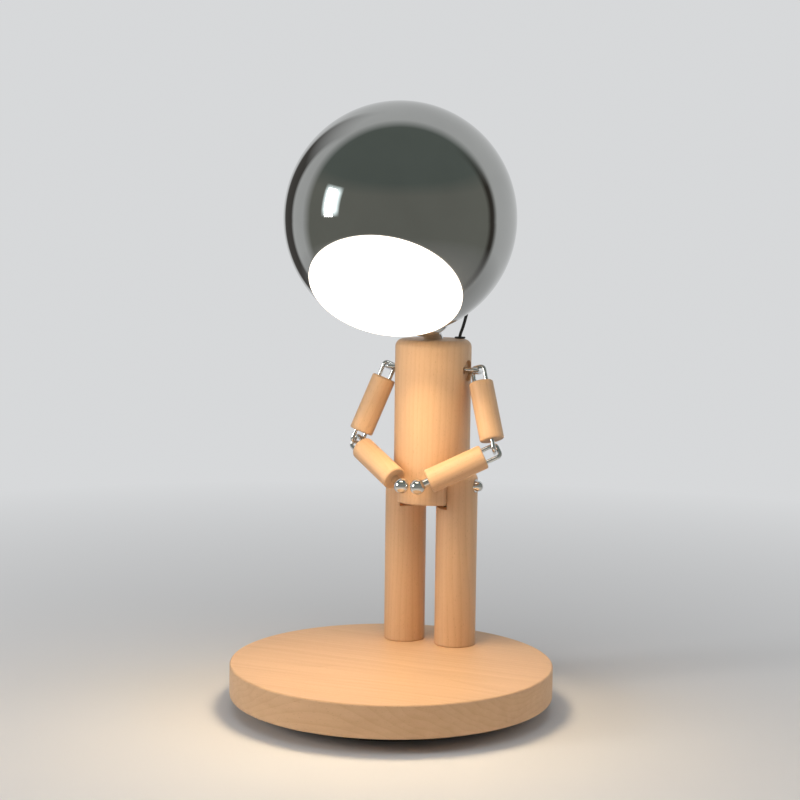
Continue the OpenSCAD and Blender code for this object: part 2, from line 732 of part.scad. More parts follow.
module head_grommet() color("#222222") at_lead_entry() difference() {
    union() {
        translate([0, 0, 0.3]) cylinder(h = grommet_lip, d = grommet_d);
        translate([0, 0, -head_wall - 1])
            cylinder(h = head_wall + 1.4, d = grommet_neck_d - 2 * seat_fit);
    }
    translate([0, 0, -through]) cylinder(h = 2 * through, d = lead_hole_d);
}

module head_lead() color("#222222") bent_bar([lead_entry + 0.5 * lead_dir,
    lead_entry - lead_in_ball * lead_dir, lead_sink_end], lead_d);

module lead_upper() color("#222222") tube(concat([for (p = lead_high_route) neck_foot + p],
    [lead_entry + 2 * lead_dir]), lead_d);

// ---- Arms ----

// Shackle: wire U on a disc with a shank, its bar at the origin, the disc's face at -stand
module shackle(stand) {
    wire_u(shackle_w, stand + shackle_disc_t / 2);
    translate([0, 0, -stand - shackle_disc_t]) cylinder(h = shackle_disc_t, d = shackle_disc_d);
    translate([0, 0, -stand - shackle_disc_t - shank_l]) cylinder(h = shank_l + eps, d = shank_d);
}

// Loop: wire U across a shackle's bar, its prongs in the rod below
module arm_loop() rotate(90) translate([0, 0, loop_up]) wire_u(loop_w, loop_up + rod_gap + prong_in);

// Holes for a loop's prongs, from the rod's end down
module prong_holes() for (s = [-1, 1]) translate([0, s * loop_w / 2, -rod_gap - prong_in - 0.5])
    cylinder(h = prong_in + rod_gap, d = wire_d + 2 * seat_fit, $fn = 32);

module shoulder_shackle(side) color("silver") on_side(side) place(shoulder_p, shoulder_bar, [1, 0, 0])
    shackle(shoulder_p[0] - shoulder_seat);

module upper_arm(side) color("burlywood") on_side(side) difference() {
    place(shoulder_p + rod_gap * upper_dir, shoulder_bar, upper_dir)
        rod(arm_d, upper_l, arm_round, arm_round);
    place(shoulder_p, shoulder_bar, -upper_dir) prong_holes();
    place(elbow_p, elbow_bar, upper_dir) {
        translate([0, 0, -elbow_gap - shackle_disc_t - gap]) cylinder(h = elbow_gap + shackle_disc_t,
            d = shackle_disc_d + 2 * gap);
        translate([0, 0, -elbow_gap - shackle_disc_t - shank_l - 1]) cylinder(h = shank_l + 2,
            d = shank_d + 2 * run_fit);
    }
}

module upper_loop(side) color("silver") on_side(side) place(shoulder_p, shoulder_bar, -upper_dir)
    arm_loop();

module elbow_shackle(side) color("silver") on_side(side) place(elbow_p, elbow_bar, upper_dir)
    shackle(elbow_gap);

module forearm(side) color("burlywood") on_side(side) difference() {
    place(elbow_p + rod_gap * fore_dir, elbow_bar, fore_dir) rod(arm_d, fore_l, arm_round, arm_round);
    place(elbow_p, elbow_bar, -fore_dir) prong_holes();
    place(hand_p, elbow_bar, -fore_dir)
        cylinder(h = hand_d / 2 + hand_neck + hand_pin_in + 1, d = hand_pin_d + 2 * seat_fit);
}

module fore_loop(side) color("silver") on_side(side) place(elbow_p, elbow_bar, -fore_dir) arm_loop();

module hand(side) color("silver") on_side(side) place(hand_p, elbow_bar, -fore_dir) {
    sphere(d = hand_d);
    cylinder(h = hand_d / 2 + hand_neck + hand_pin_in, d = hand_pin_d);
    translate([0, 0, hand_d / 2 - hand_sink]) cylinder(h = hand_neck + hand_sink, d = hand_collar_d);
}

base_disc();
base_weight();
foot_dish();
foot_ring();
dish_screws();
touch_board();
board_spacers();
touch_pad();
inlet_block();
power_socket();
leg_left();
leg_right();
leg_screws();
hip_bolt();
hip_washers();
hip_cap_nuts();
leg_lead();
torso();
hip_bush();
neck_post();
neck_screw();
torso_grommet();
torso_lead();
lead_lower();
neck_cup();
neck_bush();
neck_magnet();
cup_pad();
head_shell();
lamp_frame();
diffuser();
reflector();
light_board();
light_chips();
heat_sink();
sink_screws();
head_grommet();
head_lead();
lead_upper();
shoulder_shackle(left);  // shoulder_shackle_left
upper_arm(left);  // upper_arm_left
upper_loop(left);  // upper_loop_left
elbow_shackle(left);  // elbow_shackle_left
forearm(left);  // forearm_left
fore_loop(left);  // fore_loop_left
hand(left);  // hand_left
shoulder_shackle(right);  // shoulder_shackle_right
upper_arm(right);  // upper_arm_right
upper_loop(right);  // upper_loop_right
elbow_shackle(right);  // elbow_shackle_right
forearm(right);  // forearm_right
fore_loop(right);  // fore_loop_right
hand(right);  // hand_right
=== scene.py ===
"""Looks of the wooden figure desk lamp: smoked chrome ball with a lit opal disc, beech body, arms, legs
and base.

Metres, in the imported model's own frame: +Z up, the figure's front towards -Y, its left hand towards +X.
"""
import json
import math

import bpy
import numpy as np
from mathutils import Matrix, Vector


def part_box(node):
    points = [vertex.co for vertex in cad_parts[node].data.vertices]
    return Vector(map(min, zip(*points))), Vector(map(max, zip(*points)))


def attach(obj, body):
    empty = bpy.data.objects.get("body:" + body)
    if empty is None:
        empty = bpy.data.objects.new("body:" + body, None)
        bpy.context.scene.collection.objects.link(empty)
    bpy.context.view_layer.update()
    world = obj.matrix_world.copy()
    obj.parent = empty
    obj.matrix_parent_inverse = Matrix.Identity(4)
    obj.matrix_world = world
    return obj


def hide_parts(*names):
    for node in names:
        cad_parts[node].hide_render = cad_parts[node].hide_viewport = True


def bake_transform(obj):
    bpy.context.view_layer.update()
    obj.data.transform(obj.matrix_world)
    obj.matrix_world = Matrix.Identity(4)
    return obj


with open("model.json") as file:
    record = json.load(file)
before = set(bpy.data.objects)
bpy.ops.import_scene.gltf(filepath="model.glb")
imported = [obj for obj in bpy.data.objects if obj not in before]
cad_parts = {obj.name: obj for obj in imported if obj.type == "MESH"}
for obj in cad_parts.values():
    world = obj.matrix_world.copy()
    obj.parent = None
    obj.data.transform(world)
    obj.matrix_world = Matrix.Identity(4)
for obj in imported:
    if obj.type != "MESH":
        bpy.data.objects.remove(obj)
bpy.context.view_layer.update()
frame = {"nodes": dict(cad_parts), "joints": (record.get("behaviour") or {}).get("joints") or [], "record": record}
JOINTS = {joint["name"]: joint for joint in frame["joints"]}
SLOT_OF = {part["node"]: part["material_slot"] for part in frame["record"]["subparts"]}
MM = 0.001
SIDES = ("left", "right")

# Ball: centre, outer radius, wall, radius of the opening, and where its lit face looks
BALL_CENTRE = np.array(JOINTS["head_tilt"]["pos_m"])
BALL_R = 71 * MM
BALL_WALL = 0.8 * MM
OPENING_R = 46.3 * MM
LOOK_DOWN = math.radians(48.4)
HEAD_TURN = math.radians(11)
FACE_Z = -math.sqrt(BALL_R**2 - OPENING_R**2)

# Opal disc: its rim stands proud of the opening, and its spigot sits in the ball
DISC_R = OPENING_R - 0.2 * MM
DISC_T = 1.2 * MM
DISC_CROWN = 0.4 * MM
SPIGOT_R = OPENING_R - 1.4 * MM
SPIGOT_H = 3 * MM

# Lead from the body's top to the back of the ball: routes from the neck's foot, in millimetres
NECK_FOOT = np.array(JOINTS["neck_turn"]["pos_m"])
LEAD_D = 2 * MM
LEAD_LOW = [(13, 13, -2), (13, 13, 2), (14, 15, 7), (15, 17, 13), (16, 19, 20), (17, 21, 27)]
LEAD_HIGH = [(17, 21, 27), (18, 23, 34), (18, 25, 41), (18, 26, 48), (18, 26, 54), (17, 23, 60)]
LEAD_FACE = np.array((14, 66, -12))
LEAD_OUT = 2 * MM
GLAND_D = 7 * MM
GLAND_NECK_D = 4.9 * MM
GLAND_LIP = 1.2 * MM
GLAND_IN = 3 * MM
GLAND_OUT = 0.3 * MM
BORE_D = 3 * MM
BORE_BREAK = 0.4 * MM

# Wire links of the arms: a shackle set in a round plug, and a loop set in the rod below
LOOP_BODIES = {"upper": "upper_arm", "fore": "forearm"}
WIRE_D = 2.6 * MM
WIRE_BEND = 2.2 * MM
WIRE_STEP = 0.3 * MM
SHACKLE_W = 9.4 * MM
LOOP_W = 8 * MM
LOOP_UP = 2.75 * MM
ROD_GAP = 7.3 * MM
PRONG_IN = 7 * MM
PLUG_D = 13 * MM
PLUG_T = 1.4 * MM
PLUG_EDGE = 0.3 * MM
PLUG_SUNK = 1.1 * MM
SHOULDER_CROWN = 0.7 * MM
ELBOW_STAND = 7.5 * MM
BODY_R = 24.5 * MM

# Camera: a long lens a metre away, turned a little towards the figure's left hand
PICTURE_PX = 800
FOCAL_PX = 1700
SENSOR_MM = 36
CAMERA_AZIMUTH = math.radians(24.45)
CAMERA_BACK = 1034.3 * MM
CAMERA_HEIGHT = 296.9 * MM
PITCH = 0.1013
ROLL = 0.0125
YAW = 0.0033


# ---- Shapes ----

def turn_about(axis, angle):
    """3 by 3 matrix that turns by angle about a main axis."""
    return np.array(Matrix.Rotation(angle, 3, axis))


HEAD_TURNED = turn_about("Z", HEAD_TURN) @ turn_about("X", LOOK_DOWN - math.pi / 2)


def unit(v):
    """Vectors scaled to length 1, along the last axis."""
    return v / np.linalg.norm(v, axis=-1, keepdims=True)


def facing(direction):
    """3 by 3 matrix whose Z column is direction, and whose X column lies as near world X as it can."""
    z = unit(np.asarray(direction, float))
    x = unit(np.array((1.0, 0, 0)) - z[0] * z)
    return np.stack([x, np.cross(z, x), z], axis=1)


def on_ball(depth):
    """Point on the axis of the ball's lit face, depth below the plane of the opening."""
    return BALL_CENTRE + HEAD_TURNED @ (0, 0, FACE_Z - depth)


def arc(centre, radius, start, end, count):
    """Points of a circular arc: centre + radius (cos a, sin a), a from start to end in degrees."""
    a = np.radians(np.linspace(start, end, count))
    return np.asarray(centre) + radius * np.stack([np.cos(a), np.sin(a)], axis=1)


def carried_round(rings, sides):
    """Points of each (r, h) carried round the Z axis as (r cos t, r sin t, h), ring by ring."""
    t = np.linspace(0, 2 * np.pi, sides, endpoint=False)
    r, h = rings[:, 0, None], rings[:, 1, None]
    return np.stack(np.broadcast_arrays(r * np.cos(t), r * np.sin(t), h), axis=-1).reshape(-1, 3)


def grid_faces(rows, columns, closed):
    """Quads between neighbours of a grid of points numbered row by row. Columns always close on
    themselves, and rows do where closed is set."""
    i = np.arange(rows if closed else rows - 1)[:, None]
    j = np.arange(columns)[None, :]
    after = (j + 1) % columns
    above = (i + 1) % rows
    corners = [i * columns + j, i * columns + after, above * columns + after, above * columns + j]
    return np.stack(np.broadcast_arrays(*corners), axis=-1).reshape(-1, 4).tolist()


def fan(centre, ring):
    """Triangles from one centre point to each edge of a ring."""
    after = np.roll(ring, -1)
    return np.stack([np.full_like(ring, centre), ring, after], axis=1).tolist()


def end_fans(count, sides):
    """Fans that close the first and the last of the rings of a grid, which holds count points. The two
    centres are the next two points."""
    first = np.arange(sides)
    return fan(count, first[::-1]) + fan(count + 1, first + count - sides)


def lathe(profile, turned, centre, sides):
    """Turned form. Each (r, h) of the profile is carried round as (r cos t, r sin t, h), then turned and
    moved. The profile is a closed loop, or starts and ends on the axis, where it closes in a fan."""
    solid = profile[0, 0] == 0
    rings = profile[1:-1] if solid else profile
    points = carried_round(rings, sides)
    faces = grid_faces(len(rings), sides, closed=not solid)
    if solid:
        faces += end_fans(len(points), sides)
        poles = np.array([(0, 0, profile[0, 1]), (0, 0, profile[-1, 1])])
        points = np.concatenate([points, poles])
    return points @ turned.T + centre, faces


def smooth_path(points, steps):
    """Catmull-Rom curve through the points: on each stretch p(s) is the cubic whose ends have the
    slopes (next - last) / 2."""
    p = np.asarray(points, float)
    p = np.concatenate([2 * p[:1] - p[1:2], p, 2 * p[-1:] - p[-2:-1]])
    s = np.linspace(0, 1, steps, endpoint=False)[None, :, None]
    a, b, c, d = (p[k:len(p) - 3 + k, None] for k in range(4))
    curve = b + s * (c - a) / 2 + s**2 * (a - 2.5 * b + 2 * c - d / 2) + s**3 * (3 * (b - c) + d - a) / 2
    return np.concatenate([curve.reshape(-1, 3), p[-2:-1]])


def even_steps(path, step):
    """Points at even steps along a path, by its running length."""
    length = np.concatenate([[0], np.cumsum(np.linalg.norm(np.diff(path, axis=0), axis=1))])
    places = np.linspace(0, length[-1], max(2, round(length[-1] / step)))
    return np.stack([np.interp(places, length, path[:, k]) for k in range(3)], axis=1)


def tube(path, radius, across, sides):
    """Round bar along a path: each ring is p + radius (cos t u + sin t v), with u square to the path
    and to across, and v square to both. Both ends close in a fan."""
    t = np.linspace(0, 2 * np.pi, sides, endpoint=False)
    along = unit(np.gradient(path, axis=0))
    u = unit(np.cross(np.asarray(across, float), along))
    v = np.cross(along, u)
    rings = path[:, None] + radius * (np.cos(t)[:, None] * u[:, None] + np.sin(t)[:, None] * v[:, None])
    faces = grid_faces(len(path), sides, closed=False) + end_fans(len(path) * sides, sides)
    return np.concatenate([rings.reshape(-1, 3), path[:1], path[-1:]]), faces


def make_piece(name, form, material):
    """Object at the origin from a form's points and faces, shaded smooth."""
    points, faces = form
    mesh = bpy.data.meshes.new(name)
    mesh.from_pydata(points.tolist(), [], faces)
    mesh.polygons.foreach_set("use_smooth", [True] * len(mesh.polygons))
    mesh.materials.append(material)
    piece = bpy.data.objects.new(name, mesh)
    bpy.context.scene.collection.objects.link(piece)
    return piece


# ---- Finishes ----

class Tone:
    """One socket of a finish. Sums, differences, products and powers of tones add Math nodes."""

    def __init__(self, finish, socket):
        self.finish = finish
        self.socket = socket

    def math(self, operation, first, second=0.0, clamp=False):
        settings = {"operation": operation, "use_clamp": clamp}
        return self.finish.add("ShaderNodeMath", settings, {0: first, 1: second})

    def __add__(self, other):
        return self.math("ADD", self, other)

    def __radd__(self, other):
        return self.math("ADD", other, self)

    def __sub__(self, other):
        return self.math("SUBTRACT", self, other)

    def __rsub__(self, other):
        return self.math("SUBTRACT", other, self)

    def __mul__(self, other):
        return self.math("MULTIPLY", self, other)

    def __rmul__(self, other):
        return self.math("MULTIPLY", other, self)

    def __truediv__(self, other):
        return self.math("DIVIDE", self, other)

    def __pow__(self, other):
        return self.math("POWER", self, other)

    def fract(self):
        return self.math("FRACT", self)

    def size(self):
        """The tone without its sign."""
        return self.math("ABSOLUTE", self)

    def ramp(self, low, high):
        """0 below low, 1 above high and straight between."""
        return self.math("MULTIPLY", self - low, 1 / (high - low), clamp=True)


class Recipe:
    """An empty node tree, filled node by node."""

    def __init__(self, owner):
        owner.use_nodes = True
        self.tree = owner.node_tree
        self.tree.nodes.clear()

    def add(self, kind, settings=None, sockets=None, out=0):
        """One node: its settings, then the values or links of its sockets. Returns one output."""
        node = self.tree.nodes.new(kind)
        for key, value in (settings or {}).items():
            setattr(node, key, value)
        for key, value in (sockets or {}).items():
            if isinstance(value, Tone):
                self.tree.links.new(value.socket, node.inputs[key])
            else:
                node.inputs[key].default_value = value
        return Tone(self, node.outputs[out])

    def vector(self, operation, first, second=None, out=0):
        """One Vector Math node on one or two vectors."""
        sockets = {0: first} if second is None else {0: first, 1: second}
        return self.add("ShaderNodeVectorMath", {"operation": operation}, sockets, out)

    def noise(self, place, amounts, detail=2.0):
        """Noise with so many features a unit along each axis."""
        sockets = {"Vector": self.vector("MULTIPLY", place, amounts), "Scale": 1.0, "Detail": detail}
        return self.add("ShaderNodeTexNoise", None, sockets, "Fac")

    def mix(self, share, low, high):
        """Colour from low to high, each a colour or a tone."""
        ends = [(*end, 1) if isinstance(end, tuple) else end for end in (low, high)]
        sockets = {0: share, 6: ends[0], 7: ends[1]}
        return self.add("ShaderNodeMix", {"data_type": "RGBA"}, sockets, out=2)

    def bump(self, height, depth):
        """Normal of a surface that rises and falls by depth, in metres."""
        return self.add("ShaderNodeBump", None, {"Height": height, "Distance": depth, "Strength": 1.0})

    def close(self, shader, kind="ShaderNodeOutputMaterial"):
        """Leads a shader to the tree's output."""
        self.tree.links.new(shader.socket, self.tree.nodes.new(kind).inputs["Surface"])


class Finish(Recipe):
    """A material, with its place on Object coordinates."""

    def __init__(self, name):
        self.material = bpy.data.materials.new(name)
        super().__init__(self.material)
        self.coords = self.add("ShaderNodeTexCoord", out="Object")

    def surface(self, **sockets):
        """Closes the finish with a Principled surface. Underscores in names stand for spaces."""
        named = {key.replace("_", " "): value for key, value in sockets.items()}
        colour = named.get("Base Color")
        if isinstance(colour, tuple):
            named["Base Color"] = (*colour, 1)
        self.close(self.add("ShaderNodeBsdfPrincipled", None, named))
        return self.material


# Beech: its colours, the width of its rings, and where the pith lies from a piece's middle
BEECH_PALE = (0.73, 0.475, 0.275)
BEECH_DEEP = (0.58, 0.335, 0.170)
BEECH_FLECK = (0.40, 0.205, 0.095)
RING_MM = 3.4
PITH_MM = (58.0, 23.0, 0.0)

# Features a millimetre of each of beech's patterns, across the grain twice and then along it
WANDER_RATE = (0.030, 0.030, 0.006)
STREAK_RATE = (0.22, 0.22, 0.006)
FIBRE_RATE = (3.0, 3.0, 0.07)
PORE_RATE = (7.0, 7.0, 0.45)
CELL_RATE = (0.85, 0.85, 0.26)
PATCH_RATE = (0.10, 0.10, 0.03)

# Shift along the grain from each piece of wood to the next, and of the plugs of each side, in millimetres
WOOD_DRIFT_MM = 70.0
PLUG_DRIFT_MM = (31.0, 88.0)


def beech(name, grain, middle, drift):
    """Oiled beech, in millimetres along the grain. Growth rings are the fraction of the distance from a
    pith beside the piece, over the ring width. Fibres, pores and ray flecks are noise stretched along
    the grain."""
    finish = Finish(name)
    turn = Vector(grain).rotation_difference(Vector((0, 0, 1)))
    shift = Vector(PITH_MM) + Vector((0, 0, drift)) - turn @ (Vector(middle) / MM)
    place = finish.add("ShaderNodeMapping", {"vector_type": "POINT"}, {
        "Vector": finish.coords, "Location": shift, "Rotation": turn.to_euler(),
        "Scale": (1 / MM, 1 / MM, 1 / MM)})
    wander = finish.noise(place, WANDER_RATE) - 0.5
    x = finish.add("ShaderNodeSeparateXYZ", None, {0: place}, out=0) + 14 * wander
    y = finish.add("ShaderNodeSeparateXYZ", None, {0: place}, out=1) - 9 * wander
    from_pith = (x * x + y * y) ** 0.5
    late = (from_pith / RING_MM).fract() ** 3.0
    streak = finish.noise(place, STREAK_RATE, detail=3)
    fibre = finish.noise(place, FIBRE_RATE, detail=3)
    pores = finish.noise(place, PORE_RATE, detail=1).ramp(0.62, 0.72)
    cells = finish.add("ShaderNodeTexVoronoi", None, {
        "Vector": finish.vector("MULTIPLY", place, CELL_RATE), "Scale": 1.0}, out="Distance")
    patchy = finish.noise(place, PATCH_RATE).ramp(0.40, 0.65)
    fleck = (1 - cells.ramp(0.10, 0.21)) * (0.35 + 0.65 * patchy)
    depth = 0.42 * late + 0.50 * streak.ramp(0.30, 0.72) + 0.45 * (fibre - 0.5)
    colour = finish.mix(depth * 0.62, BEECH_PALE, BEECH_DEEP)
    colour = finish.mix(fleck * 0.42 + pores * 0.20, colour, BEECH_FLECK)
    height = 0.6 * fibre - 0.5 * pores - 0.35 * fleck
    return finish.surface(
        Base_Color=colour, Roughness=0.40 + 0.16 * fibre - 0.08 * fleck,
        Normal=finish.bump(height, 0.06 * MM), Specular_IOR_Level=0.40)


def chrome(name, colour, roughness, cloud):
    """Plated metal: a mirror whose roughness and tone drift a little in soft clouds."""
    finish = Finish(name)
    clouds = finish.noise(finish.coords, (cloud,) * 3, detail=3)
    wipe = finish.noise(finish.coords, (cloud * 2.5, cloud * 0.7, cloud * 6), detail=2)
    dull = tuple(0.9 * c for c in colour)
    return finish.surface(
        Base_Color=finish.mix(clouds.ramp(0.35, 0.75), colour, dull), Metallic=1.0,
        Roughness=roughness * (0.6 + 0.6 * clouds + 0.4 * wipe))


def brushed(name, colour, roughness):
    """Plated or bare metal with fine drawn lines and a patchy sheen."""
    finish = Finish(name)
    lines = finish.noise(finish.coords, (300, 300, 9000), detail=2)
    patches = finish.noise(finish.coords, (160, 160, 160), detail=3)
    dull = tuple(0.75 * c for c in colour)
    return finish.surface(
        Base_Color=finish.mix(patches.ramp(0.3, 0.8), colour, dull), Metallic=1.0,
        Roughness=roughness * (0.7 + 0.4 * lines + 0.3 * patches),
        Normal=finish.bump(lines, 0.01 * MM))


def moulded(name, colour, roughness):
    """Moulded plastic or rubber with a fine even texture."""
    finish = Finish(name)
    texture = finish.noise(finish.coords, (1800,) * 3, detail=2)
    haze = finish.noise(finish.coords, (45,) * 3, detail=3)
    worn = tuple(min(1.0, 1.25 * c + 0.012) for c in colour)
    return finish.surface(
        Base_Color=finish.mix(haze.ramp(0.35, 0.8), colour, worn),
        Roughness=roughness + 0.12 * (texture - 0.5), Normal=finish.bump(texture, 0.02 * MM))


def opal(name, glow, rim_glow, strength):
    """Opal plastic lit from behind: an even glow that warms near its rim, with the distance from the
    middle of the opening."""
    finish = Finish(name)
    from_middle = finish.vector("DISTANCE", finish.coords, tuple(on_ball(0)), out="Value")
    rim = from_middle.ramp(0.80 * OPENING_R, OPENING_R)
    grain = finish.noise(finish.coords, (900,) * 3, detail=1)
    return finish.surface(
        Base_Color=(0.92, 0.89, 0.84), Roughness=0.30 + 0.08 * grain,
        Emission_Color=finish.mix(rim, glow, rim_glow), Emission_Strength=strength)


def circuit_board(name):
    """Green solder mask with faint tracks."""
    finish = Finish(name)
    tracks = finish.add("ShaderNodeTexVoronoi", {"distance": "MANHATTAN"}, {
        "Vector": finish.coords, "Scale": 420.0}, out="Distance")
    return finish.surface(
        Base_Color=finish.mix(tracks.ramp(0.30, 0.36), (0.03, 0.16, 0.07), (0.05, 0.26, 0.12)),
        Roughness=0.25 + 0.2 * tracks)


FINISHES = {
    "bright_chrome": chrome("bright_chrome", (0.80, 0.80, 0.79), 0.060, 70),
    "smoked_chrome": chrome("smoked_chrome", (0.44, 0.445, 0.43), 0.030, 24),
    "zinc_steel": brushed("zinc_steel", (0.60, 0.60, 0.59), 0.32),
    "raw_steel": brushed("raw_steel", (0.20, 0.20, 0.21), 0.50),
    "brass": brushed("brass", (0.76, 0.58, 0.28), 0.28),
    "magnet": brushed("magnet", (0.52, 0.52, 0.53), 0.25),
    "aluminium": brushed("aluminium", (0.78, 0.78, 0.79), 0.38),
    "copper": brushed("copper", (0.85, 0.50, 0.35), 0.30),
    "black_rubber": moulded("black_rubber", (0.022, 0.022, 0.023), 0.62),
    "black_plastic": moulded("black_plastic", (0.030, 0.030, 0.031), 0.48),
    "white_plastic": moulded("white_plastic", (0.86, 0.86, 0.84), 0.42),
    "opal": opal("opal", (1.0, 0.965, 0.90), (1.0, 0.90, 0.78), 1.6),
    "light_chip": opal("light_chip", (1.0, 0.92, 0.72), (1.0, 0.88, 0.62), 4.0),
    "board": circuit_board("board"),
}


def middle_of(node):
    """Middle of a CAD node's box."""
    low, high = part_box(node)
    return (low + high) / 2


def pivot_of(joint):
    """Place of a joint."""
    return np.array(JOINTS[joint]["pos_m"])


def bar_of(joint):
    """Direction of a joint's axis."""
    return unit(np.array(JOINTS[joint]["axis"]))


def dress(node, material):
    """Gives a CAD node one finish over all its faces."""
    mesh = frame["nodes"][node].data
    mesh.materials.clear()
    mesh.materials.append(material)


def grain_of(rod, joint):
    """Direction of an arm rod from the joint that it hangs on."""
    return unit(np.array(middle_of(rod)) - pivot_of(joint))


# Grain of each arm rod, by its node
ROD_GRAINS = {
    f"{rod}_{side}": grain_of(f"{rod}_{side}", f"{joint}_{side}")
    for side in SIDES for rod, joint in (("upper_arm", "shoulder_lift"), ("forearm", "elbow_bend"))}


def finish_nodes():
    """Every CAD node's finish: beech along each piece's own grain, and the slot's finish elsewhere."""
    for node, slot in SLOT_OF.items():
        if slot != "beech":
            dress(node, FINISHES[slot])
    upright = (0, 0, 1)
    grains = {"base_disc": (1, 0, 0), "leg_left": upright, "leg_right": upright, "torso": upright}
    grains.update(ROD_GRAINS)
    for number, (node, grain) in enumerate(grains.items()):
        dress(node, beech("beech_" + node, grain, middle_of(node), WOOD_DRIFT_MM * number))


# ---- Pieces ----

def ball():
    """Spun shell: from the inner pole down the inner sphere, round the opening's rolled edge, and up the
    outer sphere to its pole."""
    face = math.degrees(math.asin(FACE_Z / BALL_R))
    inner_r = BALL_R - BALL_WALL
    edge_r = BALL_WALL / 2
    middle = np.array((math.cos(math.radians(face)), math.sin(math.radians(face)))) * (BALL_R - edge_r)
    inner = arc((0, 0), inner_r, 90, face, count=110)
    edge = arc(middle, edge_r, face - 180, face, count=9)[1:-1]
    outer = arc((0, 0), BALL_R, face, 90, count=160)
    profile = np.concatenate([inner, edge, outer])
    profile[0, 0] = 0
    profile[-1, 0] = 0
    form = lathe(profile, HEAD_TURNED, BALL_CENTRE, sides=256)
    piece = make_piece("ball", form, FINISHES["smoked_chrome"])
    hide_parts("head_shell")
    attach(piece, "head")


def lit_disc():
    """Opal disc: a low crown r^2 over its face, a round rim, and a spigot that sits in the ball."""
    low = FACE_Z - DISC_T
    r = np.linspace(0, 1, 40)
    flat = DISC_R - DISC_T / 2
    crown = np.stack([flat * r, low - DISC_CROWN * (1 - r**2)], axis=1)
    rim = arc((flat, low + DISC_T / 2), DISC_T / 2, -90, 90, count=10)[1:]
    spigot = np.array([(SPIGOT_R, FACE_Z), (SPIGOT_R, FACE_Z + SPIGOT_H), (0, FACE_Z + SPIGOT_H)])
    form = lathe(np.concatenate([crown, rim, spigot]), HEAD_TURNED, BALL_CENTRE, sides=160)
    piece = make_piece("lit_disc", form, FINISHES["opal"])
    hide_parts("diffuser")
    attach(piece, "head")


def gland(name, place, direction, node, body):
    """Rubber gland: a loop profile with a rounded lip on top and a neck in its hole."""
    lip = arc((GLAND_D / 2 - GLAND_LIP / 2, GLAND_LIP / 2), GLAND_LIP / 2, -90, 60, count=9)
    neck = [(BORE_D / 2, -GLAND_IN), (GLAND_NECK_D / 2, -GLAND_IN), (GLAND_NECK_D / 2, 0)]
    mouth = [(BORE_D / 2 + BORE_BREAK, GLAND_LIP), (BORE_D / 2, GLAND_LIP - BORE_BREAK)]
    form = lathe(np.concatenate([neck, lip, mouth]), facing(direction), place, sides=48)
    piece = make_piece(name, form, FINISHES["black_rubber"])
    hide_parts(node)
    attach(piece, body)


def lead(name, route, node):
    """One stretch of the lead, along a smooth curve through its route across the joint between two
    bodies, fixed in place."""
    path = smooth_path(route, steps=6)
    form = tube(path, LEAD_D / 2, across=(1, 0, 0), sides=20)
    piece = make_piece(name, form, FINISHES["black_rubber"])
    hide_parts(node)
    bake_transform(piece)


def lead_and_glands():
    """The lead's two stretches behind the neck, which meet between two joints, and its two glands."""
    facing_out = unit(LEAD_FACE.astype(float))
    entry = BALL_CENTRE + BALL_R * facing_out
    low = NECK_FOOT + np.array(LEAD_LOW) * MM
    high = np.concatenate([NECK_FOOT + np.array(LEAD_HIGH) * MM, [entry + LEAD_OUT * facing_out]])
    lead("lead_low", low, "lead_lower")
    lead("lead_high", high, "lead_upper")
    hole = NECK_FOOT + np.array((*LEAD_LOW[0][:2], 0)) * MM
    gland("body_gland", hole, (0, 0, 1), "torso_grommet", "body")
    gland("ball_gland", entry + GLAND_OUT * facing_out, facing_out, "head_grommet", "head")


def wire_u(name, pivot, bar, down, width, rise, depth):
    """U of round wire. In the plane of bar and down its path runs up one prong, round a quarter circle,
    along the bar, which lies rise behind the pivot, and down the other prong to depth past the pivot."""
    right = arc((width / 2 - WIRE_BEND, WIRE_BEND - rise), WIRE_BEND, -90, 0, count=12)
    half = np.concatenate([[(0, -rise)], right, [(width / 2, depth)]])
    flat = np.concatenate([half[:0:-1] * (-1, 1), half])
    path = np.asarray(pivot) + flat[:, :1] * bar + flat[:, 1:] * down
    form = tube(even_steps(path, WIRE_STEP), WIRE_D / 2, np.cross(bar, down), sides=24)
    return make_piece(name, form, FINISHES["bright_chrome"])


def plug(name, face, down, grain, drift, crown):
    """Turned wooden plug that a shackle's prongs stand in: its face crowned as 1 - r^2, and its edge
    rounded."""
    flat = PLUG_D / 2 - PLUG_EDGE
    shares = np.linspace(1, 0, 16)
    back = [(0, -PLUG_T), (PLUG_D / 2, -PLUG_T)]
    edge = arc((flat, -PLUG_EDGE), PLUG_EDGE, 0, 90, count=6)[:-1]
    top = np.stack([flat * shares, crown * (1 - shares**2)], axis=1)
    form = lathe(np.concatenate([back, edge, top]), facing(-down), face, sides=64)
    return make_piece(name, form, beech(name + "_beech", grain, face, drift))


def shackle(place, side, pivot, bar, host, stand, grain, crown):
    """Wire U whose prongs point along host, and the wooden plug that they stand in, stand from the pivot.
    Both take the shackle's place and ride on its link."""
    drift = PLUG_DRIFT_MM[SIDES.index(side)]
    wire = wire_u(f"{place}_wire_{side}", pivot, bar, host, SHACKLE_W, 0, stand + PLUG_T / 2)
    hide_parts(f"{place}_shackle_{side}")
    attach(wire, f"{place}_link_{side}")
    seat = plug(f"{place}_plug_{side}", pivot + stand * host, host, grain, drift, crown)
    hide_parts(f"{place}_shackle_{side}")
    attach(seat, f"{place}_link_{side}")


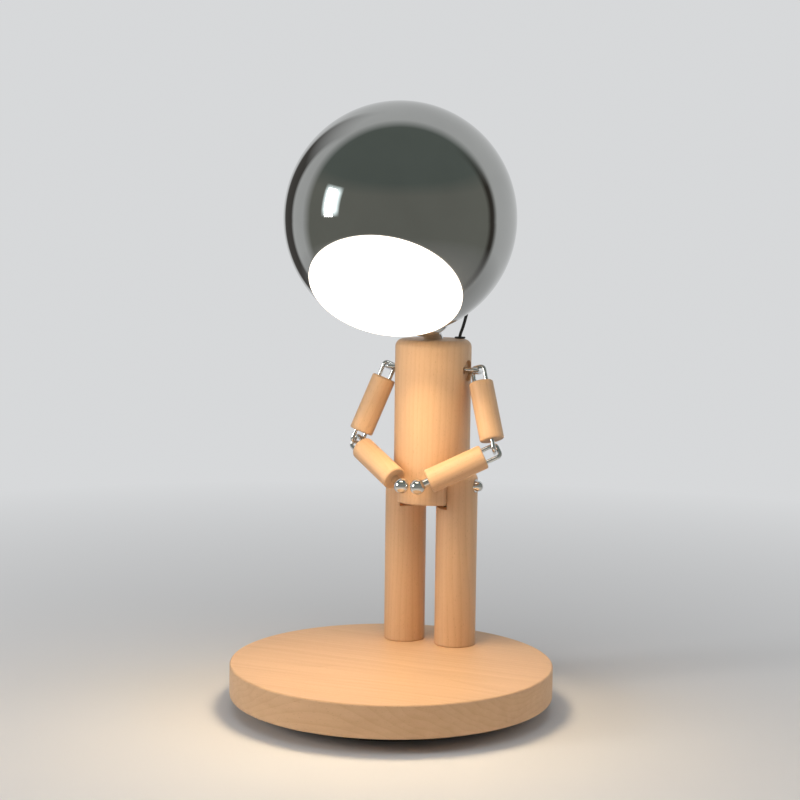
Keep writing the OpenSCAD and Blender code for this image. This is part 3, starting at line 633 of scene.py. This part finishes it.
def hanging_loop(loop, side, pivot, bar, rod):
    """Wire U set in the top of an arm rod, which hangs by it on the shackle's bar."""
    across = unit(np.cross(bar, rod))
    wire = wire_u(f"{loop}_wire_{side}", pivot, across, rod, LOOP_W, LOOP_UP, ROD_GAP + PRONG_IN)
    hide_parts(f"{loop}_loop_{side}")
    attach(wire, f"{LOOP_BODIES[loop]}_{side}")


def arm_links():
    """Shackles, their plugs, and the loops that hang on them, at every shoulder and elbow."""
    upright = np.array((0, 0, 1.0))
    for side in SIDES:
        upper = ROD_GRAINS["upper_arm_" + side]
        fore = ROD_GRAINS["forearm_" + side]
        inward = np.array((-1.0 if side == "left" else 1.0, 0, 0))
        shoulder = pivot_of("shoulder_lift_" + side)
        shoulder_bar = bar_of("shoulder_lift_" + side)
        shoulder_stand = abs(shoulder[0]) - BODY_R + PLUG_SUNK
        shackle("shoulder", side, shoulder, shoulder_bar, inward, shoulder_stand, upright, SHOULDER_CROWN)
        hanging_loop("upper", side, shoulder, shoulder_bar, upper)
        elbow = pivot_of("elbow_bend_" + side)
        elbow_bar = bar_of("elbow_bend_" + side)
        shackle("elbow", side, elbow, elbow_bar, -upper, ELBOW_STAND, upper, 0.0)
        hanging_loop("fore", side, elbow, elbow_bar, fore)


# ---- Studio ----

BACKDROP = (0.68, 0.69, 0.70)
FLOOR_COLOUR = (0.74, 0.735, 0.73)
FLOOR_R = 9.0
FLOOR_FIRST_R = 0.2
FLOOR_SIDES = 96

# Distances at which the floor starts to fade into the backdrop and is gone, and the bend of the fade
FADE_FROM = 0.15
FADE_TO = 0.95
FADE_POWER = 0.7

# What gloss sees: the backdrop behind the lamp, and across from it a dim room with a window and two dark
# bands, each an azimuth and half its width. Widths, heights and edges are shares of a unit direction.
ROOM_AZIMUTH = 24
ROOM_WALL = (0.23, 0.235, 0.21)
ROOM_CEILING = (0.155, 0.18, 0.165)
ROOM_EDGE = (-0.34, -0.14)
CEILING_EDGE = (0.35, 0.55)
WINDOW = (3.0, 3.4, 3.5)
WINDOW_AZIMUTH = -48
WINDOW_HALF = 0.10
WINDOW_SOFT = 0.09
WINDOW_HEIGHT = 0.22
WINDOW_RISE = (0.12, 0.21)
DARK_COLOUR = (0.035, 0.028, 0.022)
DARK_BANDS = ((125, 0.03), (-119, 0.17))
DARK_SOFT = 0.10
DARK_SHARE = 0.92
DARK_TOP = (0.35, 0.85)

# World: soft light from all round
SKY_COLOUR = (0.95, 0.97, 1.0)
SKY_STRENGTH = 0.28

# Lamps: azimuth and elevation in degrees from the place that they look at, distance, width and height,
# watts, colour, and whether metal shows them
LAMPS_AIM = (0, 0, 0.18)
LAMPS = {
    "left_box": (-48, 16, 1.5, 0.26, 0.56, 6.2, (1.0, 0.99, 0.97), True),
    "top_box": (10, 74, 1.6, 1.3, 1.3, 5.2, (1.0, 0.99, 0.98), False),
    "right_box": (118, 24, 1.7, 0.7, 1.0, 3.0, (0.95, 0.98, 1.0), False)}

# The figure's own light: one lamp on the disc's face, and a small one below it
GLOW_COLOUR = (1.0, 0.76, 0.48)
DISC_WATTS = 0.52
DISC_BELOW = DISC_T + DISC_CROWN + 1 * MM
SPILL_WATTS = 0.25
SPILL_R = 24 * MM
SPILL_BELOW = 32 * MM


def camera():
    """Camera from its height, distance and azimuth, with a small pitch, roll and yaw."""
    turned = turn_about("Z", CAMERA_AZIMUTH)
    right = np.array((math.cos(YAW), -math.sin(YAW), 0))
    ahead = np.array((math.sin(YAW) * math.cos(PITCH), math.cos(YAW) * math.cos(PITCH), -math.sin(PITCH)))
    upward = np.cross(right, ahead)
    rolled = math.cos(ROLL) * right + math.sin(ROLL) * upward
    standing = math.cos(ROLL) * upward - math.sin(ROLL) * right
    place = turned @ (0, -CAMERA_BACK, CAMERA_HEIGHT)
    axes = turned @ np.stack([rolled, standing, -ahead], axis=1)
    data = bpy.data.cameras.new("camera")
    data.sensor_width = SENSOR_MM
    data.lens = FOCAL_PX / PICTURE_PX * SENSOR_MM
    viewer = bpy.data.objects.new("camera", data)
    viewer.matrix_world = Matrix.Translation(Vector(place)) @ Matrix(axes.tolist()).to_4x4()
    bpy.context.scene.collection.objects.link(viewer)
    bpy.context.scene.camera = viewer


def surroundings(finish, going):
    """What gloss sees along a unit direction: the backdrop, and across from it the room. Each patch of
    the room is a product of ramps on the direction's height and on its shares along and across an
    azimuth."""
    height = finish.add("ShaderNodeSeparateXYZ", None, {0: going}, out=2)

    def share(azimuth):
        a = math.radians(azimuth)
        return finish.vector("DOT_PRODUCT", going, (math.sin(a), -math.cos(a), 0), out="Value")

    def band(azimuth, half, soft):
        across = share(azimuth + 90).size()
        return share(azimuth).ramp(0.0, 0.1) * (1 - across.ramp(half, half + soft))

    room = finish.mix(height.ramp(*CEILING_EDGE), ROOM_WALL, ROOM_CEILING)
    seen = finish.mix(share(ROOM_AZIMUTH).ramp(*ROOM_EDGE), BACKDROP, room)
    for azimuth, half in DARK_BANDS:
        strip = band(azimuth, half, DARK_SOFT) * (DARK_SHARE - height.ramp(*DARK_TOP))
        seen = finish.mix(strip, seen, DARK_COLOUR)
    pane = 1 - (height - WINDOW_HEIGHT).size().ramp(*WINDOW_RISE)
    return finish.mix(band(WINDOW_AZIMUTH, WINDOW_HALF, WINDOW_SOFT) * pane, seen, WINDOW)


def floor():
    """Pale floor: a wide flat disc that fades into the backdrop's colour far from the lamp."""
    finish = Finish("floor")
    away = finish.vector("LENGTH", finish.coords, out="Value")
    going = finish.vector("NORMALIZE", finish.coords)
    glossy = finish.add("ShaderNodeLightPath", out="Is Glossy Ray")
    seen = finish.mix(glossy, BACKDROP, surroundings(finish, going))
    near = finish.add("ShaderNodeBsdfDiffuse", None, {"Color": (*FLOOR_COLOUR, 1)})
    far = finish.add("ShaderNodeEmission", None, {"Color": seen, "Strength": 1.0})
    fade = away.ramp(FADE_FROM, FADE_TO) ** FADE_POWER
    finish.close(finish.add("ShaderNodeMixShader", None, {0: fade, 1: near, 2: far}))
    radii = np.geomspace(FLOOR_FIRST_R, FLOOR_R, 12)
    points = carried_round(np.stack([radii, 0 * radii], axis=1), FLOOR_SIDES)
    faces = [face[::-1] for face in grid_faces(len(radii), FLOOR_SIDES, closed=False)]
    faces += fan(len(points), np.arange(FLOOR_SIDES))
    piece = make_piece("floor", (np.concatenate([points, [(0, 0, 0)]]), faces), finish.material)


def softbox(name, azimuth, elevation, distance, width, height, watts, colour, mirrored):
    """Rectangular lamp that looks at the figure, placed by its direction from it. Metal shows it if
    mirrored."""
    a = math.radians(azimuth)
    e = math.radians(elevation)
    away = Vector((math.sin(a) * math.cos(e), -math.cos(a) * math.cos(e), math.sin(e)))
    data = bpy.data.lights.new(name, "AREA")
    data.shape = "RECTANGLE"
    data.size = width
    data.size_y = height
    data.energy = watts
    data.color = colour
    lamp = bpy.data.objects.new(name, data)
    lamp.visible_glossy = mirrored
    turned = away.to_track_quat("Z", "Y").to_matrix().to_4x4()
    lamp.matrix_world = Matrix.Translation(Vector(LAMPS_AIM) + away * distance) @ turned
    bpy.context.scene.collection.objects.link(lamp)


def lamp_glow():
    """The lamp's own light, that moves with the ball: the disc's, and a small lamp below it that stands in
    for the light that the disc alone doesn't give to the top of the body."""
    disc = bpy.data.lights.new("lamp_disc", "AREA")
    disc.shape = "DISK"
    disc.size = 2 * DISC_R
    disc.energy = DISC_WATTS
    spill = bpy.data.lights.new("lamp_spill", "POINT")
    spill.shadow_soft_size = SPILL_R
    spill.energy = SPILL_WATTS
    for data, below in ((disc, DISC_BELOW), (spill, SPILL_BELOW)):
        data.color = GLOW_COLOUR
        lamp = bpy.data.objects.new(data.name, data)
        turned = Matrix(HEAD_TURNED.tolist()).to_4x4()
        lamp.matrix_world = Matrix.Translation(Vector(on_ball(below))) @ turned
        lamp.visible_glossy = False
        bpy.context.scene.collection.objects.link(lamp)
        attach(lamp, "head")


def studio_world():
    """Pale all round for the camera, and for gloss the room."""
    world = bpy.data.worlds.new("studio")
    finish = Recipe(world)
    ray = finish.add("ShaderNodeLightPath", out="Is Camera Ray")
    glossy = finish.add("ShaderNodeLightPath", out="Is Glossy Ray")
    gloss = surroundings(finish, finish.add("ShaderNodeTexCoord", out="Generated"))
    seen = finish.mix(ray, gloss, BACKDROP)
    soft = finish.add("ShaderNodeBackground", None, {
        "Color": (*SKY_COLOUR, 1), "Strength": SKY_STRENGTH})
    shown = finish.add("ShaderNodeBackground", None, {"Color": seen, "Strength": 1.0})
    either = finish.add("ShaderNodeMixShader", None, {0: ray + glossy, 1: soft, 2: shown})
    finish.close(either, "ShaderNodeOutputWorld")
    bpy.context.scene.world = world


def studio():
    """Floor, world and lamps."""
    bpy.context.scene.view_settings.view_transform = "Standard"
    floor()
    studio_world()
    for name, settings in LAMPS.items():
        softbox(name, *settings)
    lamp_glow()


camera()
finish_nodes()
ball()
lit_disc()
lead_and_glands()
arm_links()
studio()
